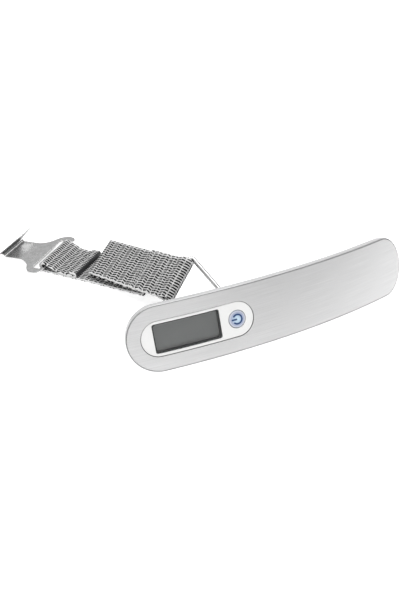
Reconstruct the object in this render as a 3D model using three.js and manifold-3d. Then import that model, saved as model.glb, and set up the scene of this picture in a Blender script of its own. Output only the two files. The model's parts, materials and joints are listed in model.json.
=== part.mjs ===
// Digital luggage scale: a bow-shaped handle with a steel front plate, a display and a
// button, a load cell inside, and a wire bail, a folded webbing strap and a hook behind it.
//
// Millimetres, +Z up. The handle stands on its long lower edge and leans back; its front
// plate faces -Y, its length runs along X, and the strap lies on the ground behind it.
import * as THREE from 'three';
import { mergeVertices } from 'three/addons/utils/BufferGeometryUtils.js';
import Module from 'manifold-3d';

const wasm = await Module();
wasm.setup();

// ---------------------------------------------------------------- driving dimensions

const LEAN = THREE.MathUtils.degToRad(19.2); // the handle's lean back from upright
const BOW_RADIUS = 252; // of the front face, seen from above
const HALF_WIDTH = 15; // half the handle's height, and the radius of its round ends
const HALF_STRAIGHT = 63.6; // middle of the handle to the centre of a round end
const REAR_DEPTH = 17; // front face to back face
const SEAM_DEPTH = 4.4; // where the front housing meets the rear shell
const RIM_DEPTH = 4; // the side wall is straight to here, then tapers
const TAPER = 0.337; // how far the side wall draws in for each mm of depth
const WALL = 1.6;
const GAP = 0.2; // between neighbouring pieces
const BOW_STEP = 12; // length of the flat facets that make up the bow

const PLATE_THICKNESS = 0.6;
const PLATE_RADIUS = 14.4;
const FLOOR_FRONT = 0.8; // front wall of the housing, behind the plate
const FLOOR_BACK = 2.3;

const BEZEL_RADIUS = 7.87;
const BEZEL_LEFT = -64; // centres of the bezel's two round ends
const BEZEL_RIGHT = -27.9;
const BEZEL_FRONT = 0.3;
const BEZEL_FACE_BACK = 1.15;
const BEZEL_FLANGE_FRONT = 2.5;
const BEZEL_BACK = 3.4;
const BEZEL_FLANGE_RADIUS = 9.4;

const DISPLAY_CENTRE = -51.05;
const WINDOW_LENGTH = 30.5;
const WINDOW_HEIGHT = 13.3;
const LENS_OVERLAP = 0.4;

const BUTTON_RADIUS = 3.9;
const BUTTON_HOLE_RADIUS = 4.15;
const BUTTON_TRAVEL = 0.4;
const FLAT_STATION = -46; // where the circuit board touches the bow's tangent
const BOARD_DEPTH = 7.6;

const BEAM_STATION = -10; // where the load cell touches the bow's tangent
const BEAM_FRONT = 9.3;
const BEAM_THICKNESS = 5;
const BEAM_LEFT = -17; // from BEAM_STATION
const BEAM_RIGHT = 34;
const BEAM_WIDTH = 10;
const BEAM_SCREWS = [21, 29.5]; // from BEAM_STATION

const HANGER_STATION = -21.5;
const EYE_DEPTH = 28.3;
const EYE_HEIGHT = -0.3;
const STEM_RADIUS = 1.8;

const CELL_STATION = 49;
const CELL_RADIUS = 10;
const CELL_FRONT = 9.2;
const CELL_THICKNESS = 3.2;
const COVER_HALF_LENGTH = 12;
const COVER_HALF_HEIGHT = 10.1;

const CASE_SCREWS = [-71.3, 31.5, 71.3];
const POST_FRONT = 2.2;
const POST_SPLIT = 8.8;

const WIRE_RADIUS = 1.15;
const BAR_LENGTH = 34; // the bail's long side, which carries the strap
const EYE_SIDE_LENGTH = 8; // its short side, through the hanger's eye
const BAIL_HEIGHT = 25.4;
const BAIL_CORNER = 2.4;

const STRAP_WIDTH = 25;
const STRAP_THICKNESS = 1.4;
const FOLD_GAP = 0.25; // half the gap between two folded layers
const FLAP_LENGTH = 25; // the sewn return at the bail
const HEM_LENGTH = 4;

const HOOK_THICKNESS = 1.3;
const HOOK_CURL_RADIUS = 2;
const HOOK_CURL = THREE.MathUtils.degToRad(130);
const HOOK_CURL_START = 28.1; // from the slot's bar
const HOOK_LIP = 4; // straight part past the curl

// Places outside the handle, with the handle's lower front edge on the ground at X = 0.
const GROUND_LIFT = 3.95;
const EYE_PLACE = new THREE.Vector3(-19.1, 32.2, 8.35);
const BAR_DIRECTION = new THREE.Vector3(-0.762, -0.494, -0.419).normalize();
const BAIL_FALL = new THREE.Vector3(-0.628, 0.722, 0.291).normalize();
const STRAP_ON_BAR = 15; // from the bar's far corner to the middle of the strap
const LEFT_FOLD = new THREE.Vector3(-50.85, 106.3, 7.65);
const LEFT_FOLD_ACROSS = new THREE.Vector3(0.77, 0.535, 0.347).normalize();
const RIGHT_FOLD = new THREE.Vector3(-33.9, 78.3, 1.7);
const RIGHT_FOLD_ACROSS = new THREE.Vector3(0.809, 0.588, 0).normalize();
const HOOK_BAR_FOOT = new THREE.Vector3(-69, 126.6, 1.35);
const HOOK_BAR_ACROSS = new THREE.Vector3(0.805, 0.584, 0.104).normalize();
const HOOK_BAR_RISE = 3.2; // the bar's middle above the strap's underside
const HOOK_BEND = new THREE.Vector3(-85.85, 152.45, 2);

// ---------------------------------------------------------------- materials

function finish(colour, roughness, metalness) {
  return new THREE.MeshStandardMaterial({ color: colour, roughness, metalness });
}

const brushedSteel = () => finish(0xcfcfd1, 0.35, 1);
const brightSteel = () => finish(0xb9bbbd, 0.25, 1);
const stampedSteel = () => finish(0xa4a5a6, 0.35, 1);
const silverPlastic = () => finish(0xe6e7e8, 0.4, 0.1);
const whitePlastic = () => finish(0xf4f5f6, 0.25, 0);
const greyPlastic = () => finish(0x8c8f92, 0.5, 0);
const clearPlastic = () => finish(0x9a9c9c, 0.1, 0);
const displayGlass = () => finish(0x77797a, 0.2, 0);
const buttonPlastic = () => finish(0xc3d2ee, 0.3, 0);
const rubber = () => finish(0x2f3032, 0.8, 0);
const board = () => finish(0x2e6b43, 0.5, 0);
const chip = () => finish(0x1c1d1f, 0.5, 0);
const aluminium = () => finish(0xc4c6c8, 0.35, 1);
const brass = () => finish(0xc9a253, 0.35, 1);
const redWire = () => finish(0xb02a2a, 0.5, 0);
const blackWire = () => finish(0x1d1d1f, 0.5, 0);
const whiteWire = () => finish(0xdddddd, 0.5, 0);
const webbing = () => finish(0x9a9a9a, 0.9, 0);

// ---------------------------------------------------------------- solids

function solid(geometry) {
  const plain = geometry.clone();
  plain.deleteAttribute('normal');
  plain.deleteAttribute('uv');
  const merged = mergeVertices(plain, 1e-4);
  return new wasm.Manifold(new wasm.Mesh({
    numProp: 3,
    vertProperties: new Float32Array(merged.attributes.position.array),
    triVerts: new Uint32Array(merged.index.array),
  }));
}

function geometryOf(body) {
  const mesh = body.getMesh();
  const geometry = new THREE.BufferGeometry();
  geometry.setAttribute('position', new THREE.BufferAttribute(mesh.vertProperties, 3));
  geometry.setIndex(new THREE.BufferAttribute(mesh.triVerts, 1));
  return geometry;
}

/** The joined bases with every tool cut away. */
function carve(bases, tools) {
  const joined = bases.map(solid).reduce((whole, next) => whole.add(next));
  return geometryOf(tools.map(solid).reduce((left, tool) => left.subtract(tool), joined));
}

/** A prism: an outline in length and height, from one depth to another. */
function slab(outline, front, back) {
  const geometry = new THREE.ExtrudeGeometry(outline, {
    depth: back - front,
    bevelEnabled: false,
    curveSegments: 6,
  });
  geometry.rotateX(Math.PI / 2);
  geometry.translate(0, back, 0);
  return geometry;
}

function box(xFrom, xTo, yFrom, yTo, zFrom, zTo) {
  const geometry = new THREE.BoxGeometry(xTo - xFrom, yTo - yFrom, zTo - zFrom);
  geometry.translate((xFrom + xTo) / 2, (yFrom + yTo) / 2, (zFrom + zTo) / 2);
  return geometry;
}

/** A round bar along the depth direction. */
function post(x, z, radius, front, back, sides = 16) {
  const geometry = new THREE.CylinderGeometry(radius, radius, back - front, sides);
  geometry.translate(x, (front + back) / 2, z);
  return geometry;
}

function roundedRectangle(centre, halfLength, halfHeight, corner) {
  const left = centre - halfLength;
  const right = centre + halfLength;
  const outline = new THREE.Shape();
  outline.moveTo(left + corner, -halfHeight);
  outline.lineTo(right - corner, -halfHeight);
  outline.absarc(right - corner, -halfHeight + corner, corner, -Math.PI / 2, 0);
  outline.lineTo(right, halfHeight - corner);
  outline.absarc(right - corner, halfHeight - corner, corner, 0, Math.PI / 2);
  outline.lineTo(left + corner, halfHeight);
  outline.absarc(left + corner, halfHeight - corner, corner, Math.PI / 2, Math.PI);
  outline.lineTo(left, -halfHeight + corner);
  outline.absarc(left + corner, -halfHeight + corner, corner, Math.PI, 1.5 * Math.PI);
  return outline;
}

function stadium(left, right, radius) {
  const outline = new THREE.Shape();
  outline.moveTo(left, -radius);
  outline.lineTo(right, -radius);
  outline.absarc(right, 0, radius, -Math.PI / 2, Math.PI / 2);
  outline.lineTo(left, radius);
  outline.absarc(left, 0, radius, Math.PI / 2, 1.5 * Math.PI);
  return outline;
}

/** The upper half of a stadium outline, from its right tip to its left, as [length, height]. */
function upperHalf(radius) {
  const capSteps = 7;
  const points = [];
  for (let i = 0; i <= capSteps; i += 1) {
    const angle = (Math.PI / 2) * (i / capSteps);
    points.push([HALF_STRAIGHT + radius * Math.cos(angle), radius * Math.sin(angle)]);
  }
  const inner = Math.floor(HALF_STRAIGHT / BOW_STEP) * BOW_STEP;
  const mirrored = points.map(([x, z]) => [-x, z]).reverse();
  for (let x = inner; x >= -inner; x -= BOW_STEP) {
    points.push([x, radius]);
  }
  return [...points, ...mirrored];
}

/** A closed solid through stadium outlines given as [depth, radius], front to back. */
function stadiumLoft(sections) {
  const half = upperHalf(1).length;
  const count = 2 * half - 2;
  const positions = [];
  for (const [depth, radius] of sections) {
    const upper = upperHalf(radius);
    const lower = upper.slice(1, -1).reverse().map(([x, z]) => [x, -z]);
    for (const [x, z] of [...upper, ...lower]) {
      positions.push(x, depth, z);
    }
  }
  const index = [];
  const quad = (p, q, r, t) => index.push(p, q, r, p, r, t);
  const below = (i) => (count - i) % count;
  const last = (sections.length - 1) * count;
  for (let i = 0; i < half - 1; i += 1) {
    quad(i, i + 1, below(i + 1), below(i));
    quad(last + i, last + below(i), last + below(i + 1), last + i + 1);
  }
  for (let row = 0; row < last; row += count) {
    for (let i = 0; i < count; i += 1) {
      const next = (i + 1) % count;
      quad(row + i, row + count + i, row + count + next, row + next);
    }
  }
  const geometry = new THREE.BufferGeometry();
  geometry.setAttribute('position', new THREE.Float32BufferAttribute(positions, 3));
  geometry.setIndex(index);
  return geometry;
}

/** A round wire or lead along a curve. */
function tube(curve, radius, steps, sides = 8) {
  const section = new THREE.Shape();
  section.absarc(0, 0, radius, 0, 2 * Math.PI);
  return new THREE.ExtrudeGeometry(section, { steps, extrudePath: curve, curveSegments: sides / 2 });
}

// ---------------------------------------------------------------- bending

/** Where the plane at x crosses the edge between two corners. */
function crossing(a, b, x) {
  const [low, high] = a.x < b.x ? [a, b] : [b, a];
  const point = low.clone().lerp(high, (x - low.x) / (high.x - low.x));
  point.x = x;
  return point;
}

function splitTriangle(corners, x) {
  const near = 1e-5;
  const below = corners.filter((corner) => corner.x < x - near).length;
  const above = corners.filter((corner) => corner.x > x + near).length;
  if (below === 0 || above === 0) {
    return [corners];
  }
  const isLone = (corner) => {
    if (below + above === 2) {
      return corner.x < x - near;
    }
    return below === 1 ? corner.x < x - near : corner.x > x + near;
  };
  const start = corners.findIndex(isLone);
  const [lone, second, third] = [0, 1, 2].map((i) => corners[(start + i) % 3]);
  if (below + above === 2) {
    const onPlane = Math.abs(second.x - x) <= near ? second : third;
    const other = onPlane === second ? third : second;
    const middle = crossing(lone, other, x);
    return onPlane === second
      ? [[lone, second, middle], [middle, second, third]]
      : [[lone, middle, third], [middle, second, third]];
  }
  const first = crossing(lone, second, x);
  const final = crossing(lone, third, x);
  return [[lone, first, final], [first, second, third], [first, third, final]];
}

/** Cuts the surface at the given places along x, and moves each corner by place(x, y, z). */
function reshape(geometry, cuts, place) {
  const loose = geometry.index ? geometry.toNonIndexed() : geometry;
  const positions = loose.attributes.position;
  let triangles = [];
  for (let i = 0; i < positions.count; i += 3) {
    triangles.push([0, 1, 2].map((k) => new THREE.Vector3().fromBufferAttribute(positions, i + k)));
  }
  for (const x of cuts) {
    triangles = triangles.flatMap((corners) => splitTriangle(corners, x));
  }
  const solidOnes = triangles.filter(([a, b, c]) => !(a.equals(b) || b.equals(c) || c.equals(a)));
  const moved = solidOnes.flat().flatMap(({ x, y, z }) => place(x, y, z).toArray());
  const result = new THREE.BufferGeometry();
  result.setAttribute('position', new THREE.Float32BufferAttribute(moved, 3));
  return mergeVertices(result, 1e-4);
}

/** Every multiple of a step between two places. */
function steps(from, to, step) {
  const first = Math.ceil(from / step);
  const last = Math.floor(to / step);
  return Array.from({ length: last - first + 1 }, (_, i) => (first + i) * step);
}

/** A point of the bowed handle, from its place along, into and up the straight one. */
function bow(along, depth, up) {
  const angle = along / BOW_RADIUS;
  const radius = BOW_RADIUS - depth;
  return new THREE.Vector3(radius * Math.sin(angle), BOW_RADIUS - radius * Math.cos(angle), up);
}

function bowed(geometry) {
  return reshape(geometry, steps(-HALF_STRAIGHT, HALF_STRAIGHT, BOW_STEP), bow);
}

/** A group whose Y runs straight into the handle at one place along the bow. */
function station(along) {
  const group = new THREE.Group();
  group.position.copy(bow(along, 0, 0));
  group.rotation.z = along / BOW_RADIUS;
  return group;
}

function named(name, geometry, material) {
  const mesh = new THREE.Mesh(geometry, material);
  mesh.name = name;
  return mesh;
}

// ---------------------------------------------------------------- handle casing

function outerRadius(depth) {
  return HALF_WIDTH - TAPER * Math.max(0, depth - RIM_DEPTH);
}

function innerRadius(depth) {
  return outerRadius(depth) - WALL;
}

function frontPlate() {
  const sheet = stadiumLoft([[0, PLATE_RADIUS], [PLATE_THICKNESS, PLATE_RADIUS]]);
  const hole = slab(stadium(BEZEL_LEFT, BEZEL_RIGHT, BEZEL_RADIUS + GAP), -1, 2);
  return named('front_plate', carve([bowed(sheet)], [bowed(hole)]), brushedSteel());
}

/** The light rim round the plate, with the wall behind it and the posts for the insides. */
function frontHousing() {
  const edge = 0.35;
  const outer = stadiumLoft([
    [0.1, HALF_WIDTH - edge],
    [0.1 + edge, HALF_WIDTH],
    [RIM_DEPTH, HALF_WIDTH],
    [SEAM_DEPTH - GAP, outerRadius(SEAM_DEPTH)],
  ]);
  const plateRecess = stadiumLoft([[-1, PLATE_RADIUS + GAP], [FLOOR_FRONT, PLATE_RADIUS + GAP]]);
  const cavity = stadiumLoft([[FLOOR_BACK, HALF_WIDTH - WALL], [REAR_DEPTH, HALF_WIDTH - WALL]]);
  const bezelOutline = stadium(BEZEL_LEFT, BEZEL_RIGHT, BEZEL_RADIUS + GAP);
  const bezelHole = slab(bezelOutline, 0, BEZEL_FLANGE_FRONT + 3 * GAP);
  const shell = carve([bowed(outer)], [plateRecess, cavity].map(bowed));
  const beamSeat = box(8, 28, POST_FRONT, 12, -6, 6);
  const screwPosts = CASE_SCREWS.map((along) => post(along, 0, 2.8, POST_FRONT, POST_SPLIT));
  const pilots = CASE_SCREWS.map((along) => post(along, 0, 1.3, 4, 12, 16));
  const seatTop = BEAM_FRONT - 2 * GAP - 1.2;
  const seatCut = box(BEAM_SCREWS[0] - 8, 44, seatTop, 30, -8, 8);
  const seatHoles = BEAM_SCREWS.map((x) => post(x, 0, 1.6, 3.4, 30, 16));
  const frame = station(BEAM_STATION);
  frame.updateMatrix();
  const seatTools = [seatCut, ...seatHoles].map((tool) => tool.applyMatrix4(frame.matrix));
  const bases = [shell, ...[beamSeat, ...screwPosts].map(bowed)];
  const body = carve(bases, [...[bezelHole, ...pilots].map(bowed), ...seatTools]);
  return named('front_housing', body, silverPlastic());
}

function rearOutline() {
  return stadiumLoft([
    [SEAM_DEPTH + GAP, outerRadius(SEAM_DEPTH + GAP)],
    [REAR_DEPTH - 1.8, outerRadius(REAR_DEPTH - 1.8)],
    [REAR_DEPTH - 0.9, outerRadius(REAR_DEPTH - 0.9) - 0.5],
    [REAR_DEPTH - 0.3, outerRadius(REAR_DEPTH) - 1],
    [REAR_DEPTH, outerRadius(REAR_DEPTH) - 1.7],
  ]);
}

function rearCavity() {
  return stadiumLoft([
    [SEAM_DEPTH - 1, innerRadius(SEAM_DEPTH)],
    [REAR_DEPTH - WALL - 1, innerRadius(REAR_DEPTH - WALL - 1)],
    [REAR_DEPTH - WALL, innerRadius(REAR_DEPTH - WALL) - 0.8],
  ]);
}

function coverOutline(clearance) {
  const halfLength = COVER_HALF_LENGTH + clearance;
  return roundedRectangle(CELL_STATION, halfLength, COVER_HALF_HEIGHT + clearance, 6);
}

function rearShell() {
  const screwPosts = CASE_SCREWS.map((x) => post(x, 0, 4, POST_SPLIT + GAP, REAR_DEPTH - 1));
  const heads = CASE_SCREWS.map((x) => post(x, 0, 2.6, POST_SPLIT + 2, REAR_DEPTH + 2));
  const shanks = CASE_SCREWS.map((x) => post(x, 0, 1.5, 0, REAR_DEPTH, 16));
  const coverHole = slab(coverOutline(GAP), 13, REAR_DEPTH + 2);
  const stemHole = post(HANGER_STATION, EYE_HEIGHT, 3.2, 12, REAR_DEPTH + 2);
  const shell = carve([bowed(rearOutline())], [rearCavity(), coverHole].map(bowed));
  const whole = carve([shell, ...screwPosts.map(bowed)], [...heads, ...shanks, stemHole].map(bowed));
  return named('rear_shell', whole, silverPlastic());
}

function batteryCover() {
  const plug = slab(coverOutline(0), REAR_DEPTH - WALL, REAR_DEPTH + 2);
  const body = solid(bowed(rearOutline())).intersect(solid(bowed(plug)));
  const coinSlot = box(CELL_STATION - 4, CELL_STATION + 4, REAR_DEPTH - 0.7, 20, -0.8, 0.8);
  const geometry = carve([geometryOf(body)], [bowed(coinSlot)]);
  return named('battery_cover', geometry, silverPlastic());
}

/** A screw along the depth direction: pan head at the back, shank to the front. */
function screw(name, x, headRadius, headHeight, shankRadius, seat, tip) {
  const profile = [
    new THREE.Vector2(0, tip),
    new THREE.Vector2(shankRadius * 0.6, tip),
    new THREE.Vector2(shankRadius, tip + 0.6),
    new THREE.Vector2(shankRadius, seat),
    new THREE.Vector2(headRadius, seat),
    new THREE.Vector2(headRadius, seat + headHeight * 0.6),
    new THREE.Vector2(headRadius * 0.7, seat + headHeight),
    new THREE.Vector2(0, seat + headHeight),
  ];
  const lathe = new THREE.LatheGeometry(profile, 12);
  const top = seat + headHeight;
  const slot = box(-headRadius, headRadius, top - headHeight * 0.4, top + 1, -0.35, 0.35);
  const mesh = named(name, carve([lathe], [slot]), brightSteel());
  mesh.position.x = x;
  return mesh;
}

function caseScrew(along, number) {
  const group = station(along);
  const seat = POST_SPLIT + 2 + GAP;
  group.add(screw(`case_screw_${number}`, 0, 2.3, 1.6, 1.1, seat, 4.6));
  return group;
}

// ---------------------------------------------------------------- display and button

function bezel() {
  const face = slab(stadium(BEZEL_LEFT, BEZEL_RIGHT, BEZEL_RADIUS), BEZEL_FRONT, BEZEL_BACK);
  const flangeOutline = stadium(BEZEL_LEFT, BEZEL_RIGHT, BEZEL_FLANGE_RADIUS);
  const flange = slab(flangeOutline, BEZEL_FLANGE_FRONT, BEZEL_BACK);
  const halfLength = WINDOW_LENGTH / 2;
  const halfHeight = WINDOW_HEIGHT / 2;
  const window = roundedRectangle(DISPLAY_CENTRE, halfLength, halfHeight, 1);
  const pocketGrow = LENS_OVERLAP + 0.1;
  const lensPocket = roundedRectangle(
    DISPLAY_CENTRE, halfLength + pocketGrow, halfHeight + pocketGrow, 1.4);
  const panelPocket = roundedRectangle(DISPLAY_CENTRE, halfLength + 1.3, halfHeight + 0.8, 0.5);
  const cuts = [
    slab(window, 0, 2),
    slab(lensPocket, BEZEL_FACE_BACK, BEZEL_BACK + 1),
    slab(panelPocket, BEZEL_FLANGE_FRONT, BEZEL_BACK + 1),
    post(BEZEL_RIGHT, 0, BUTTON_HOLE_RADIUS, 0, 5, 28),
    post(BEZEL_RIGHT, 0, 5.2, 2.2, 5, 20),
    box(-80, DISPLAY_CENTRE - 17.3, BEZEL_FLANGE_FRONT - 0.1, 5, -10, 10),
  ];
  const body = carve([face, flange].map(bowed), cuts.map(bowed));
  return named('display_bezel', body, whitePlastic());
}

function displayLens() {
  const halfLength = WINDOW_LENGTH / 2 + LENS_OVERLAP;
  const halfHeight = WINDOW_HEIGHT / 2 + LENS_OVERLAP;
  const outline = roundedRectangle(DISPLAY_CENTRE, halfLength, halfHeight, 1.3);
  const geometry = bowed(slab(outline, BEZEL_FACE_BACK + 0.1, 2.05));
  return named('display_lens', geometry, clearPlastic());
}

function displayParts() {
  const group = station(DISPLAY_CENTRE);
  const panel = box(-16, 16, 3.2, 5.2, -7.1, 7.1);
  group.add(named('lcd_panel', panel, displayGlass()));
  const strip = box(-13, 13, 5.2 + GAP, 6.8, -6.4, -4.4);
  group.add(named('lcd_connector', strip, rubber()));
  return group;
}

/** The button's cap, collar and stem, which slide in the bezel and press the switch. */
function powerButton() {
  const group = station(BEZEL_RIGHT);
  const profile = [
    new THREE.Vector2(0, 0.05),
    new THREE.Vector2(BUTTON_RADIUS * 0.55, 0.12),
    new THREE.Vector2(BUTTON_RADIUS - 0.35, 0.32),
    new THREE.Vector2(BUTTON_RADIUS, 0.65),
    new THREE.Vector2(BUTTON_RADIUS, 2.4),
    new THREE.Vector2(4.8, 2.4),
    new THREE.Vector2(4.8, 3),
    new THREE.Vector2(1.3, 3),
    new THREE.Vector2(1.3, 3.9),
    new THREE.Vector2(0, 3.9),
  ];
  group.add(named('power_button', new THREE.LatheGeometry(profile, 28), buttonPlastic()));
  group.add(named('switch_plunger', post(0, 0, 1.5, 4, 5.8, 20), rubber()));
  return group;
}

function circuitBoard() {
  const group = station(FLAT_STATION);
  const outline = roundedRectangle(0, 20.3, 9.2, 2);
  const back = BOARD_DEPTH + 1;
  group.add(named('main_pcb', slab(outline, BOARD_DEPTH, back), board()));
  group.add(named('controller_chip', box(-13, -4, back + 0.1, back + 1.7, -4.5, 4.5), chip()));
  const capacitor = post(8, 4, 1.8, back + 0.1, back + 4, 20);
  group.add(named('capacitor', capacitor, aluminium()));
  return group;
}

function tactSwitch() {
  const group = station(BEZEL_RIGHT);
  const body = box(-2.6, 2.6, 4.3, 6.7, -2.6, 2.6);
  const well = post(0, 0, 1.7, 4, 5.8 + BUTTON_TRAVEL + 0.1, 20);
  group.add(named('tact_switch', carve([body], [well]), greyPlastic()));
  return group;
}

// ---------------------------------------------------------------- load cell and hanger

function loadCell() {
  const group = station(BEAM_STATION);
  const middle = 7;
  const flexure = new THREE.Shape();
  const centreDepth = BEAM_FRONT + BEAM_THICKNESS / 2;
  flexure.moveTo(BEAM_LEFT, BEAM_FRONT);
  flexure.lineTo(BEAM_RIGHT, BEAM_FRONT);
  flexure.lineTo(BEAM_RIGHT, BEAM_FRONT + BEAM_THICKNESS);
  flexure.lineTo(BEAM_LEFT, BEAM_FRONT + BEAM_THICKNESS);
  const eyes = new THREE.Path();
  eyes.absarc(middle - 5, centreDepth, 1.7, 0.3, 2 * Math.PI - 0.3);
  eyes.absarc(middle + 5, centreDepth, 1.7, Math.PI + 0.3, 3 * Math.PI - 0.3);
  flexure.holes.push(eyes);
  const bar = new THREE.ExtrudeGeometry(flexure, {
    depth: BEAM_WIDTH,
    bevelEnabled: false,
    curveSegments: 16,
  });
  bar.translate(0, 0, -BEAM_WIDTH / 2);
  const back = BEAM_FRONT + BEAM_THICKNESS;
  const stemTurn = (HANGER_STATION - BEAM_STATION) / BOW_RADIUS;
  const stemX = (BOW_RADIUS - centreDepth) * Math.sin(stemTurn);
  const holes = BEAM_SCREWS.map((x) => post(x, 0, 1.7, BEAM_FRONT - 2, back + 2, 16));
  holes.push(post(stemX, EYE_HEIGHT, STEM_RADIUS + 0.6, BEAM_FRONT - 2, back + 2, 24));
  group.add(named('load_cell_beam', carve([bar], holes), aluminium()));
  const backGauge = box(middle - 7.5, middle - 2.5, back + 0.05, back + 0.3, -1.8, 1.8);
  const frontGauge = box(middle + 2.5, middle + 7.5, BEAM_FRONT - 0.3, BEAM_FRONT - 0.05, -1.8, 1.8);
  group.add(named('strain_gauge_back', backGauge, brass()));
  group.add(named('strain_gauge_front', frontGauge, brass()));
  const shimFront = BEAM_FRONT - GAP - 1.2;
  const shim = box(BEAM_SCREWS[0] - 4.5, BEAM_SCREWS[1] + 4.5, shimFront, BEAM_FRONT - GAP, -5, 5);
  const shimHoles = BEAM_SCREWS.map((x) => post(x, 0, 1.7, shimFront - 1, BEAM_FRONT + 1, 16));
  group.add(named('load_cell_shim', carve([shim], shimHoles), brightSteel()));
  BEAM_SCREWS.forEach((x, i) => {
    group.add(screw(`load_cell_screw_${i + 1}`, x, 2.6, 1.5, 1.4, back + 0.1, 3.8));
  });
  return group;
}

/** The swivelling eye that carries the bail, with the nut and washer that hold it. */
function hanger() {
  const group = station(HANGER_STATION);
  const beamFront = 8.5;
  const stem = post(0, 0, STEM_RADIUS, beamFront - 3.4, EYE_DEPTH - 2.6, 24);
  const collar = post(0, 0, 3.6, 18.4, 20, 24);
  const ring = new THREE.CylinderGeometry(4.4, 4.4, 2.4, 32);
  const bore = new THREE.CylinderGeometry(2.1, 2.1, 6, 24);
  for (const part of [ring, bore]) {
    part.rotateX(Math.PI / 2);
    part.rotateY(Math.atan2(-0.807, -0.591));
    part.translate(0, EYE_DEPTH, 0);
  }
  const eye = named('hanger_eye', carve([stem, collar, ring], [bore]), brightSteel());
  const nutBody = post(0, 0, 3.2, beamFront - 3, beamFront - 0.8, 6);
  const nutBore = post(0, 0, STEM_RADIUS + 0.15, 0, 12, 24);
  const washerBody = post(0, 0, 3.4, beamFront - 0.6, beamFront, 24);
  group.add(eye);
  group.add(named('hanger_nut', carve([nutBody], [nutBore]), brightSteel()));
  group.add(named('hanger_washer', carve([washerBody], [nutBore]), brightSteel()));
  for (const mesh of group.children) {
    mesh.position.z = EYE_HEIGHT;
  }
  return group;
}

// ---------------------------------------------------------------- battery and leads

function battery() {
  const group = station(CELL_STATION);
  const back = CELL_FRONT + CELL_THICKNESS;
  const cellProfile = [
    new THREE.Vector2(0, CELL_FRONT),
    new THREE.Vector2(CELL_RADIUS - 1.2, CELL_FRONT),
    new THREE.Vector2(CELL_RADIUS - 0.9, CELL_FRONT + 0.4),
    new THREE.Vector2(CELL_RADIUS, CELL_FRONT + 0.6),
    new THREE.Vector2(CELL_RADIUS, back),
    new THREE.Vector2(0, back),
  ];
  group.add(named('coin_cell', new THREE.LatheGeometry(cellProfile, 32), brightSteel()));
  const tray = slab(roundedRectangle(0, 12.4, 9.6, 3), 6.6, 7.8);
  const legs = [-1, 1].map((side) => box(side * 11.6 - 0.8, side * 11.6 + 0.8, 7, 11, -5, 5));
  const windowCut = box(-4, 4, 6, 9, -3, 3);
  group.add(named('battery_tray', carve([tray, ...legs], [windowCut]), whitePlastic()));
  const minus = [box(-9, -3, 8, 8.3, -2, 2), box(-3.4, -3, 8, 8.9, -2, 2), box(-3.4, 2, 8.6, 8.9, -2, 2)];
  group.add(named('battery_contact_minus', carve(minus, []), brass()));
  const plus = [box(10.3, 10.6, 10.2, 13, -2, 2), box(5, 10.6, 12.7, 13, -2, 2)];
  const plusContact = named('battery_contact_plus', carve(plus, []), brass());
  plusContact.position.x = -0.1;
  group.add(plusContact);
  return group;
}

/** A lead laid along the inside of the handle; points are [along, depth, up]. */
function lead(name, points, material) {
  const curve = new THREE.CatmullRomCurve3(points.map(([along, depth, up]) => bow(along, depth, up)));
  return named(name, tube(curve, 0.45, 2 * points.length + 6), material);
}

function leads() {
  const group = new THREE.Group();
  group.add(lead('battery_lead_plus', [
    [37, 5.4, 6.2], [30, 6.4, 8.6], [15, 7, 8.8], [0, 7, 8.4], [-12, 6.6, 8], [-22, 6, 7.4],
  ], redWire()));
  group.add(lead('battery_lead_minus', [
    [37, 5.4, -6.2], [30, 6.4, -8.6], [15, 7, -8.8], [0, 7, -8.4], [-12, 6.6, -8], [-22, 6, -7.4],
  ], blackWire()));
  group.add(lead('load_cell_lead', [
    [-2, 14.7, 7], [-10, 14, 7.4], [-18, 12, 7.6], [-26, 9.8, 6.6], [-34, 9.4, 5],
  ], whiteWire()));
  return group;
}

// ---------------------------------------------------------------- bail, strap and hook

/** Straight runs between corners, each corner rounded off. */
function roundedRoute(corners, radius) {
  const path = new THREE.CurvePath();
  let from = corners[0];
  for (let i = 1; i < corners.length - 1; i += 1) {
    const before = corners[i].clone().sub(corners[i - 1]).normalize();
    const after = corners[i + 1].clone().sub(corners[i]).normalize();
    const enter = corners[i].clone().addScaledVector(before, -radius);
    const leave = corners[i].clone().addScaledVector(after, radius);
    path.add(new THREE.LineCurve3(from, enter));
    path.add(new THREE.QuadraticBezierCurve3(enter, corners[i], leave));
    from = leave;
  }
  path.add(new THREE.LineCurve3(from, corners[corners.length - 1]));
  return path;
}

/** The wire ring: its two ends meet in the short side, inside the hanger's eye. */
function wireBail() {
  const halfShort = EYE_SIDE_LENGTH / 2;
  const halfBar = BAR_LENGTH / 2;
  const endGap = 0.25;
  const corners = [
    new THREE.Vector3(endGap, 0, 0),
    new THREE.Vector3(halfShort, 0, 0),
    new THREE.Vector3(halfBar, BAIL_HEIGHT, 0),
    new THREE.Vector3(-halfBar, BAIL_HEIGHT, 0),
    new THREE.Vector3(-halfShort, 0, 0),
    new THREE.Vector3(-endGap, 0, 0),
  ];
  const route = new THREE.CurvePath();
  const upper = corners[1].clone().lerp(corners[2], 0.5);
  const lower = corners[4].clone().lerp(corners[3], 0.5);
  const legIn = roundedRoute([corners[0], corners[1], upper], 2);
  const far = roundedRoute([upper, corners[2], corners[3], lower], BAIL_CORNER);
  const legOut = roundedRoute([lower, corners[4], corners[5]], 2);
  for (const piece of [legIn, far, legOut]) {
    piece.curves.forEach((curve) => route.add(curve));
  }
  const mesh = named('wire_bail', tube(route, WIRE_RADIUS, 64, 10), brightSteel());
  const across = BAR_DIRECTION.clone();
  const normal = new THREE.Vector3().crossVectors(across, BAIL_FALL).normalize();
  const basis = new THREE.Matrix4().makeBasis(across, BAIL_FALL, normal);
  mesh.setRotationFromMatrix(basis);
  mesh.position.copy(EYE_PLACE);
  return mesh;
}

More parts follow.
